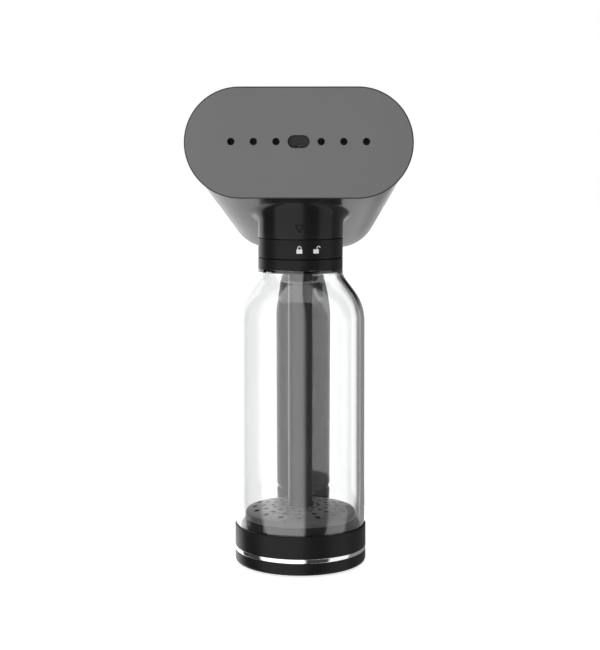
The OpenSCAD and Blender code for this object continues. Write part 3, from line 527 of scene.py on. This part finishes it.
def makeHead():
    shape, hollow = HeadShape(), HeadShape(headSize["wall"])
    front, split, seam = shape.front, headSize["split"] - headSize["gap"], headSize["seam"]
    rows = [shape.section(front + 0.02, 0.5), shape.section(front + 0.15, 0.15), shape.section(front + 0.5)]
    rows += [shape.section(y) for y in np.linspace(front + 4, split - 0.5, 18)]
    rows += [shape.section(split, seam)]
    rows += [hollow.section(y) for y in np.linspace(split, front + 0.02, 12)]
    case = buildPiece("headCase", [sheetPart(np.stack(rows), True, True)], 24)

    # the neck is turned around Z; its flare is a curve from the upright wall to the head's underside
    size = {"bore": 19.45, "throat": 17.6, "ceiling": 172.6, "flare": 5.4, "edge": 0.35, "steps": 256,
            "ringGap": 0.15, "cutLow": 1, "cutHigh": 22, "markHeight": 175, "markDepth": 0.6,
            "shadeDepth": 0.25, "mark": [[-2.45, 2.1], [2.45, 2.1], [0, -2.1]],
            "markInside": [[-1.6, 1.62], [1.6, 1.62], [0, -1.15]]}
    ringHigh = nodeBox("lock_ring")[1]
    radius, low, edge = ringHigh[0], ringHigh[2] + size["ringGap"], size["edge"]
    bore, throat, ceiling = size["bore"], size["throat"], size["ceiling"]
    turn = np.linspace(0, 2 * np.pi, size["steps"], endpoint=False)

    def ringAt(r, z):
        r, z = r + 0 * turn, z + 0 * turn
        return np.stack([r * np.cos(turn), r * np.sin(turn), z], -1)

    def underAt(r):
        return shape.under(r * np.cos(turn), r * np.sin(turn))

    wide = radius + size["flare"]
    corner, landing = underAt(radius), underAt(wide) + 0.06
    start = corner - size["flare"]
    rows = [ringAt(throat, underAt(throat) + 1.2), ringAt(throat, ceiling), ringAt(bore, ceiling),
            ringAt(bore, low + edge), ringAt(bore + edge, low), ringAt(radius - edge, low),
            ringAt(radius - edge * 0.3, low + edge * 0.3), ringAt(radius, low + edge)]
    rows += [ringAt(radius, low + edge + (start - low - edge) * t) for t in (0.33, 0.66)]
    for t in np.linspace(0, 1, 14):
        first, middle, last = (1 - t) ** 2, 2 * t * (1 - t), t**2
        rows.append(ringAt(first * radius + middle * radius + last * wide,
                           first * start + middle * corner + last * landing))
    rows += [ringAt(wide - 1, landing + 1.6)]
    neck = buildPiece("neckSleeve", [sheetPart(np.stack(rows), True, True)], 24)
    combine(case, neck, "UNION", 24)
    cutLow, cutHigh = ceiling + size["cutLow"], ceiling + size["cutHigh"]
    opening = turned(np.array([[0, cutLow], [throat, cutLow], [throat, cutHigh], [0, cutHigh]]), 128)

    def triangle(corners, y):
        flat = np.array(corners)
        return np.stack([flat[:, 0], np.full(3, y), flat[:, 1] + size["markHeight"]], -1)

    def markPart(near, far):  # a triangular frame between two depths
        return sheetPart(np.stack([triangle(size["mark"], near), triangle(size["mark"], far),
                                   triangle(size["markInside"], far), triangle(size["markInside"], near)]),
                         True, True)

    deep = -radius + size["markDepth"]
    combine(case, buildPiece("neckCuts", [opening, markPart(deep, -radius - 1)]), "DIFFERENCE", 24)
    # painted shade: a near-black sheet laid in the bottom of the triangle's groove stands in for the shade in it
    grooveShade = buildPiece("neckGrooveShade", [markPart(deep + 0.02, deep - size["shadeDepth"])], 10)
    settle(grooveShade, "machine", "rubber", finish="groove_shade")
    settle(case, "machine", "grey_case", "head_shell")


gripSize = {"front": 60, "back": 95, "half": 17.4, "neckHalf": 15.1, "footHalf": 16, "edgeHalf": 17.1,
            "low": 22, "edge": 2.5, "waist": 125, "neck": 147, "top": 181, "wall": 2.4, "pull": 1.5, "blend": 3.5}


# a stadium at one height: half circles of radius r round a front and a rear middle
def stadiumRing(r, front, back, height, steps=48):
    turn = np.concatenate([np.linspace(0, np.pi, steps), np.linspace(np.pi, 2 * np.pi, steps)])
    middle = np.repeat([back, front], steps)
    return np.stack([r * np.cos(turn), middle + r * np.sin(turn), height + 0 * turn], -1)


# the handle as a stack of stadiums; the half width runs straight from knot to knot and is then averaged over
# the heights near by
def gripPart(inset, low, top):
    g = gripSize
    height = np.concatenate([low + np.array([0, 0.25, 0.8, 1.6, 2.5]), np.linspace(low + 5, top, 60)])
    knots = [low - 5, g["low"], g["low"] + g["edge"], g["waist"], g["neck"], g["top"] + 5]
    values = [g["footHalf"], g["footHalf"], g["edgeHalf"], g["half"], g["neckHalf"], g["neckHalf"]]
    near = height[:, None] + np.linspace(-g["blend"], g["blend"], 9)[None, :]
    half = np.interp(near, knots, values).mean(1)
    half[:5] = np.interp(height[:5], knots, values)
    rows = []
    for r, z in zip(half, height):
        trim = min(g["half"] - r, g["pull"])
        rows.append(stadiumRing(r - inset, g["front"] + trim + r, g["back"] - trim - r, z))
    rows = [pole(rows[0])] + rows + [pole(rows[-1])]
    return sheetPart(np.stack(rows), wrapCols=True)


def makeHandle():
    g, wall, split = gripSize, gripSize["wall"], headSize["split"]
    size = {"windowHalf": 8.4, "windowLow": 129, "windowHigh": 157.4, "windowDepth": 71,
            "headScrews": [[-17, 210], [17, 210], [-17, 183], [17, 183]], "gripScrews": [[0, 40], [0, 112]],
            "screwSeat": 89, "gripSeat": 93.4, "recess": 2.7, "button": 6.75, "ringPocket": 8.75,
            "pocketDepth": 92.6, "beyond": 100, "cordHole": 5.6, "gland": [3.6, 5.55, 6.6], "glandStep": 89.1,
            "footWall": 3.4, "footGroove": 1.7}
    buttonHeight = sum(box[2] for box in nodeBox("power_button")) / 2
    whole, inside = gripPart(0, g["low"], g["top"]), gripPart(wall, g["low"] - 1, g["top"])

    grip = buildPiece("gripFront", [whole], 30)
    combine(grip, buildPiece("hollow", [inside]), "DIFFERENCE", 30)
    combine(grip, buildPiece("headRoom", [HeadShape().solid(20)]), "DIFFERENCE", 30)
    cuts = [blockPart([-size["windowHalf"], 50, size["windowLow"]],
                      [size["windowHalf"], size["windowDepth"], size["windowHigh"]]),
            blockPart([-60, split - headSize["gap"], 0], [60, 120, 200])]
    combine(grip, buildPiece("gripCuts", cuts), "DIFFERENCE", 30)
    settle(grip, "machine", "black_case", "handle_front")

    rear = buildPiece("rearShell", [HeadShape().solid(60)], 30)
    combine(rear, buildPiece("rearGrip", [whole]), "UNION", 30)
    combine(rear, buildPiece("rearHollow", [HeadShape(wall).solid(50)]), "DIFFERENCE", 30)
    combine(rear, buildPiece("gripHollow", [inside]), "DIFFERENCE", 30)

    far = size["beyond"]
    cuts = [rodPart(x, z, size["recess"], size["screwSeat"], far) for x, z in size["headScrews"]]
    cuts += [rodPart(x, z, size["recess"], size["gripSeat"], far) for x, z in size["gripScrews"]]
    wide = [[0, 80], [size["button"], 80], [size["button"], size["pocketDepth"]],
            [size["ringPocket"], size["pocketDepth"]], [size["ringPocket"], far], [0, far]]
    cuts += [turnedAlongY(np.array(wide), 0, buttonHeight),
             blockPart([-80, -80, 0], [80, split + headSize["gap"], 300])]
    combine(rear, buildPiece("rearCuts", cuts), "DIFFERENCE", 30)
    settle(rear, "machine", "grey_case", "rear_cover")

    # the foot is the same stadium, with a groove under the handle, and a round hole behind for the cord
    low, high = nodeBox("handle_foot")[0][2], nodeBox("handle_foot")[1][2]
    front, back, half, groove = g["front"] + g["half"], g["back"] - g["half"], g["half"], size["footGroove"]
    profile = [(1.5, low), (1.0, low + 0.1), (0.6, low + 0.6), (0.4, low + 1.5), (0.4, high - 1.7),
               (0.5, high - 1.4), (0.8, high - 1.3), (groove, high - 1.25), (groove, high),
               (size["footWall"], high), (size["footWall"], low + 2.4)]
    rows = [stadiumRing(half - inset, front, back, z) for inset, z in profile]
    rows = [pole(rows[0])] + rows + [pole(rows[-1])]
    foot = buildPiece("gripFoot", [sheetPart(np.stack(rows), wrapCols=True)], 30)
    glandLow, glandHigh = nodeBox("cord_gland")
    height = (glandLow[2] + glandHigh[2]) / 2
    combine(foot, buildPiece("cordHole", [rodPart(0, height, size["cordHole"], 85, far)]), "DIFFERENCE", 30)
    settle(foot, "machine", "black_case", "handle_foot")
    (bore, waist, flange), step = size["gland"], size["glandStep"]
    gland = softCorners([[bore, glandLow[1]], [flange, glandLow[1]], [flange, step], [waist, step],
                         [waist, glandHigh[1]], [bore, glandHigh[1]]], [0.2, 0.3, 0.3, 0.1, 0.5, 0.5])
    settle(buildPiece("cordGland", [turnedAlongY(gland, 0, height)]), "machine", "rubber", "cord_gland")


# the outline in Y and Z is carried across; near each side it shrinks by a quarter circle, and the lower end
# lifts in proportion to the distance from the middle, which gives the lower edge its shallow V
def makeTrigger():
    size = {"round": 1.2, "lift": 4.5, "flatHalf": 1.5, "pinHole": 1.56, "springHole": 2.8,
            "springSeat": 61.6,
            "outline": [[60.5, 156.4], [70.4, 156.4], [70.4, 151.5], [66, 148], [64, 146], [63.4, 133],
                        [61.2, 131.4], [58.6, 134], [57.4, 140], [57.8, 148], [59.4, 154]],
            "cuts": [1.2, 0.6, 0.6, 2, 2, 1, 1, 3, 5, 5, 3]}
    half = nodeBox("trigger")[1][0]
    outline = softCorners(size["outline"], size["cuts"], 8)
    along = np.roll(outline, -1, 0) - np.roll(outline, 1, 0)
    along /= np.linalg.norm(along, axis=1)[:, None]
    inward = np.stack([along[:, 1], -along[:, 0]], -1)
    if ((outline.mean(0) - outline) * inward).sum() < 0:
        inward = -inward
    low, high = outline[:, 1].min(), outline[:, 1].max()
    bend = np.linspace(0, np.pi / 2, 7)
    x = np.concatenate([-half + size["round"] * (1 - np.sin(bend[::-1])),
                        np.linspace(-half + 2, half - 2, 15), half - size["round"] * (1 - np.sin(bend))])
    inset = np.concatenate([size["round"] * (1 - np.cos(bend[::-1])), np.zeros(15),
                            size["round"] * (1 - np.cos(bend))])
    rows = []
    for here, pull in zip(x, inset):
        flat = outline + inward * pull
        lift = size["lift"] * max(abs(here) - size["flatHalf"], 0) / (half - size["flatHalf"])
        z = flat[:, 1] + lift * (high - flat[:, 1]) / (high - low)
        rows.append(np.stack([np.full(len(flat), here), flat[:, 0], z], -1))
    rows = [pole(rows[0])] + rows + [pole(rows[-1])]
    lever = buildPiece("triggerLever", [sheetPart(np.stack(rows), wrapCols=True)], 34)
    pinLow, pinHigh = nodeBox("trigger_pin")
    springLow, springHigh = nodeBox("trigger_spring")
    pinY, pinZ = (pinLow[1] + pinHigh[1]) / 2, (pinLow[2] + pinHigh[2]) / 2
    points, faces = rodPart(0, 0, size["pinHole"], -20, 20, 48)
    pin = np.stack([points[:, 1], points[:, 0] + pinY, points[:, 2] + pinZ], -1), faces
    spring = rodPart(0, (springLow[2] + springHigh[2]) / 2, size["springHole"], size["springSeat"], 75, 48)
    combine(lever, buildPiece("leverCuts", [pin, spring]), "DIFFERENCE", 34)
    settle(lever, "trigger", "black_case", "trigger")


def makeButton():
    size = {"radius": 6.5, "dish": 0.6, "rim": 1.1, "stem": 2, "stemLength": 2.2, "gap": 0.3}
    low, high = nodeBox("power_button")
    height, radius, inside = (low[2] + high[2]) / 2, size["radius"], size["radius"] - size["rim"]
    stem, under, front, back = size["stem"], low[1] + size["stemLength"], low[1], high[1]
    dish = np.linspace(1, 0, 8)[:, None] * inside
    hollow = back - size["dish"] * (1 - (dish / inside) ** 2)
    shaft = softCorners([[0, front], [stem, front], [stem, under], [radius, under], [radius, back],
                         [inside, back]], [0, 0.2, 0.1, 0.3, 0.5, 0])
    outline = np.concatenate([shaft, np.concatenate([dish, hollow], 1)[1:]])
    button = buildPiece("powerButton", [turnedAlongY(outline, 0, height)])
    settle(button, "power_button", "black_case", "power_button")
    low, high = nodeBox("button_ring")
    inside, outside = radius + size["gap"], high[0]
    ring = softCorners([[inside, low[1]], [outside, low[1]], [outside, high[1]], [inside, high[1]]],
                       [0.1, 0.2, 0.6, 0.6])
    settle(buildPiece("buttonRing", [turnedAlongY(ring, 0, height)]), "machine", "pale_print", "button_ring")


makeHead()
print("head")
makeHandle()
makeTrigger()
makeButton()
print("handle, trigger, button")


# the plate's face is cut into one cell per hole; each cell's rows run from its border to the rim of its hole
def makePlate():
    size = {"edge": 0.8, "pitch": 10.95, "rise": 0.6, "perSide": 3, "hole": 1.6, "slotRound": 2.95,
            "slotHalf": 2.2, "cut": 0.22, "endSteps": 120, "sideSteps": 26, "edgeSteps": 8}
    low, high = nodeBox("soleplate")
    middle, radius = (low[2] + high[2]) / 2, (high[2] - low[2]) / 2
    half, front, back = high[0] - radius, low[1], high[1]
    flat, cell = radius - size["edge"], size["pitch"] / 2
    tail = half - size["perSide"] * size["pitch"]  # from the last hole to the middle of the plate's round end
    steep = math.atan2(flat, cell)
    bend = np.linspace(0, np.pi / 2, 7)
    ends, sides, edges = size["endSteps"], size["sideSteps"], size["edgeSteps"]
    parts = []

    def sweep(first, last, steps):  # angles from the first up to, but without, the last
        return np.linspace(first, last, steps + 1)[:-1]

    def place(x, z, y):
        return np.stack([x, y + 0 * x, z + middle], -1)

    for k in range(-size["perSide"], size["perSide"] + 1):
        centre = k * size["pitch"]
        last = abs(k) == size["perSide"]
        if last:  # one straight side, then round the end of the plate
            turn = np.concatenate([sweep(steep - np.pi, np.pi - steep, ends),
                                   sweep(np.pi - steep, np.pi + steep, sides)])
            groups = [np.arange(ends + 1)]
        else:  # two straight sides between neighbours, and the plate's long edges above and below
            turn = np.concatenate([sweep(-steep, steep, sides), sweep(steep, np.pi - steep, edges),
                                   sweep(np.pi - steep, np.pi + steep, sides),
                                   sweep(np.pi + steep, 2 * np.pi - steep, edges)])
            lower = 2 * sides + edges
            groups = [np.arange(sides, sides + edges + 1), np.append(np.arange(lower, lower + edges), 0)]
        onEdge = np.zeros(len(turn), bool)
        onEdge[np.concatenate(groups)] = True
        c, s = np.cos(turn), np.sin(turn)
        if last:
            roundReach = tail * c + np.sqrt(flat**2 - (tail * s) ** 2)
            straight = np.where(np.abs(s) > 1e-6, flat / np.maximum(np.abs(s), 1e-6), 1e9)
            beside = straight * c < tail
            reach = np.where(onEdge, np.where(beside, straight, roundReach), cell / np.maximum(-c, 1e-9))
            outX = np.where(onEdge & ~beside, (reach * c - tail) / flat, 0)
            outZ = np.where(onEdge, np.where(beside, np.sign(s), reach * s / flat), 0)
        else:
            reach = np.minimum(cell / np.maximum(np.abs(c), 1e-9), flat / np.maximum(np.abs(s), 1e-9))
            outX, outZ = 0 * turn, np.where(onEdge, np.sign(s), 0)
        flip = -1 if k < 0 and last else 1
        if k == 0:
            slotHalf, slotRound = size["slotHalf"], size["slotRound"]
            atEnd = slotHalf * np.abs(c) + np.sqrt(slotRound**2 - (slotHalf * s) ** 2)
            atSide = slotRound / np.maximum(np.abs(s), 1e-9)
            hole = np.where(np.abs(atSide * c) <= slotHalf, atSide, atEnd)
        else:
            hole = np.full(len(turn), size["hole"])
        x, z = reach * c, reach * s
        cut, edge, rise = size["cut"], size["edge"], size["rise"]
        ways = [place(flip * (x + outX * edge) + centre, z + outZ * edge, back),
                place(flip * hole * c + centre, hole * s + rise, back),
                place(flip * hole * c + centre, hole * s + rise, front + cut),
                place(flip * (hole + cut) * c + centre, (hole + cut) * s + rise, front),
                place(flip * x + centre, z, front)]
        parts.append(sheetPart(np.stack(ways), wrapCols=True))
        for group in groups:
            gx, gz, nx, nz = x[group], z[group], outX[group], outZ[group]
            rim = [place(flip * (gx + nx * edge * math.sin(b)) + centre, gz + nz * edge * math.sin(b),
                         front + edge * (1 - math.cos(b))) for b in bend]
            rim.append(place(flip * (gx + nx * edge) + centre, gz + nz * edge, back))
            parts.append(sheetPart(np.stack(rim)))
    plate = buildPiece("soleplateFace", parts, 30)
    settle(plate, "machine", "plate_coating", "soleplate")

    # painted shade: the rounded edge and the walls of the holes, every face but the flat front, get a dark finish
    # for the shade that falls there
    paintFaces(plate, finishes["painted_shade_dark"], lambda normal, centre: normal[:, 1] > -0.98)


makePlate()
print("soleplate")


def makeStudio():
    studio = {"floorHalf": 4000, "floorDrop": 0.3, "floorTone": 0.93, "floorGlow": 0.75,
              "lampPower": 5, "lampWidth": 1.6, "lampPlace": (0, -0.1, 1.4), "lampAim": (0, 0, 0.1),
              # brightness of the room by bearing from the front, in degrees to the right: level, overhead
              "room": [(-180, 1.15), (-165, 1.15), (-158, 1.5), (-123, 1.5), (-116, 0.05), (-76, 0.05),
                       (-68, 1.45), (6, 1.45), (13, 0.05), (50, 0.05), (56, 1.0), (92, 1.0), (98, 0.25),
                       (167, 0.25), (171, 1.15), (180, 1.15)],
              "overhead": [(-180, 1.15), (-123, 1.15), (-116, 0.05), (-76, 0.05), (-68, 1.45), (6, 1.45),
                           (13, 0.05), (50, 0.05), (56, 1.0), (85, 1.0), (92, 0.01), (178, 0.01),
                           (180, 1.15)],
              "riseFrom": 1, "riseTo": 8}
    square = np.array([[-1, -1, 0], [1, -1, 0], [1, 1, 0], [-1, 1, 0]]) * studio["floorHalf"]
    floor = buildPiece("studioFloor", [(square - [0, 0, studio["floorDrop"]], [[0, 1, 2, 3]])])
    paper = mouldedFinish("studioPaper", {
        "colour": (studio["floorTone"],) * 3, "rough": 0.9, "spread": 0.01, "bump": 0,
        "Specular IOR Level": 0, "Emission Strength": studio["floorGlow"]})
    floor.data.materials.append(paper)
    floor.visible_glossy = floor.visible_transmission = False  # mirrors and glass see the room below instead

    world = bpy.data.worlds.new("room")
    bpy.context.scene.world = world
    world.use_nodes = True
    tree = world.node_tree
    tree.nodes.clear()
    way = tree.nodes.new("ShaderNodeTexCoord").outputs["Generated"]
    split = tree.nodes.new("ShaderNodeSeparateXYZ")
    tree.links.new(way, split.inputs[0])
    back = tree.nodes.new("ShaderNodeMath")
    back.operation = "MULTIPLY"
    back.inputs[1].default_value = -1
    tree.links.new(split.outputs["Y"], back.inputs[0])
    bearing = tree.nodes.new("ShaderNodeMath")
    bearing.operation = "ARCTAN2"
    tree.links.new(split.outputs["X"], bearing.inputs[0])
    tree.links.new(back.outputs[0], bearing.inputs[1])
    turn = tree.nodes.new("ShaderNodeMapRange")
    turn.inputs["From Min"].default_value, turn.inputs["From Max"].default_value = -math.pi, math.pi
    tree.links.new(bearing.outputs[0], turn.inputs["Value"])
    tones = []
    for stops in (studio["room"], studio["overhead"]):
        ramp = tree.nodes.new("ShaderNodeValToRGB")
        tree.links.new(turn.outputs["Result"], ramp.inputs["Fac"])
        elements = ramp.color_ramp.elements
        elements[1].position = 1
        elements[0].color, elements[1].color = (stops[0][1],) * 3 + (1,), (stops[-1][1],) * 3 + (1,)
        for degrees, tone in stops[1:-1]:
            elements.new((degrees + 180) / 360).color = (tone,) * 3 + (1,)
        tones.append(ramp.outputs["Color"])
    rise = tree.nodes.new("ShaderNodeMapRange")
    rise.inputs["From Min"].default_value = math.sin(math.radians(studio["riseFrom"]))
    rise.inputs["From Max"].default_value = math.sin(math.radians(studio["riseTo"]))
    tree.links.new(split.outputs["Z"], rise.inputs["Value"])
    blend = tree.nodes.new("ShaderNodeMix")
    blend.data_type = "RGBA"
    tree.links.new(rise.outputs["Result"], blend.inputs[0])
    tree.links.new(tones[0], blend.inputs[6])
    tree.links.new(tones[1], blend.inputs[7])
    room = tree.nodes.new("ShaderNodeBackground")
    tree.links.new(blend.outputs[2], room.inputs["Color"])
    plain = tree.nodes.new("ShaderNodeBackground")
    plain.inputs["Color"].default_value = (1, 1, 1, 1)
    path = tree.nodes.new("ShaderNodeLightPath")
    mix = tree.nodes.new("ShaderNodeMixShader")
    tree.links.new(path.outputs["Is Camera Ray"], mix.inputs[0])
    tree.links.new(room.outputs[0], mix.inputs[1])
    tree.links.new(plain.outputs[0], mix.inputs[2])
    output = tree.nodes.new("ShaderNodeOutputWorld")
    tree.links.new(mix.outputs[0], output.inputs["Surface"])

    lamp = bpy.data.lights.new("topBox", "AREA")
    lamp.shape, lamp.size, lamp.energy = "SQUARE", studio["lampWidth"], studio["lampPower"]
    box = bpy.data.objects.new("topBox", lamp)
    bpy.context.scene.collection.objects.link(box)
    box.location = studio["lampPlace"]
    box.rotation_euler = (Vector(studio["lampAim"]) - box.location).to_track_quat("-Z", "Y").to_euler()


def makeCamera():  # stands back along its bearing, to the right of the front, and looks a little down
    view = {"lens": 84.57, "bearing": 1.45, "stand": 0.781, "aside": -0.00024, "height": 0.2218, "down": 7.12}
    scene = bpy.context.scene
    camera = bpy.data.objects.new("camera", bpy.data.cameras.new("camera"))
    scene.collection.objects.link(camera)
    camera.data.lens, camera.data.sensor_width, camera.data.clip_start = view["lens"], 36, 0.01
    bearing, stand = math.radians(view["bearing"]), view["stand"]
    camera.location = (stand * math.sin(bearing) + view["aside"], -stand * math.cos(bearing), view["height"])
    camera.rotation_euler = (math.radians(90 - view["down"]), 0, bearing)
    scene.camera = camera
    scene.view_settings.view_transform = "Standard"


makeStudio()
makeCamera()
print("studio")
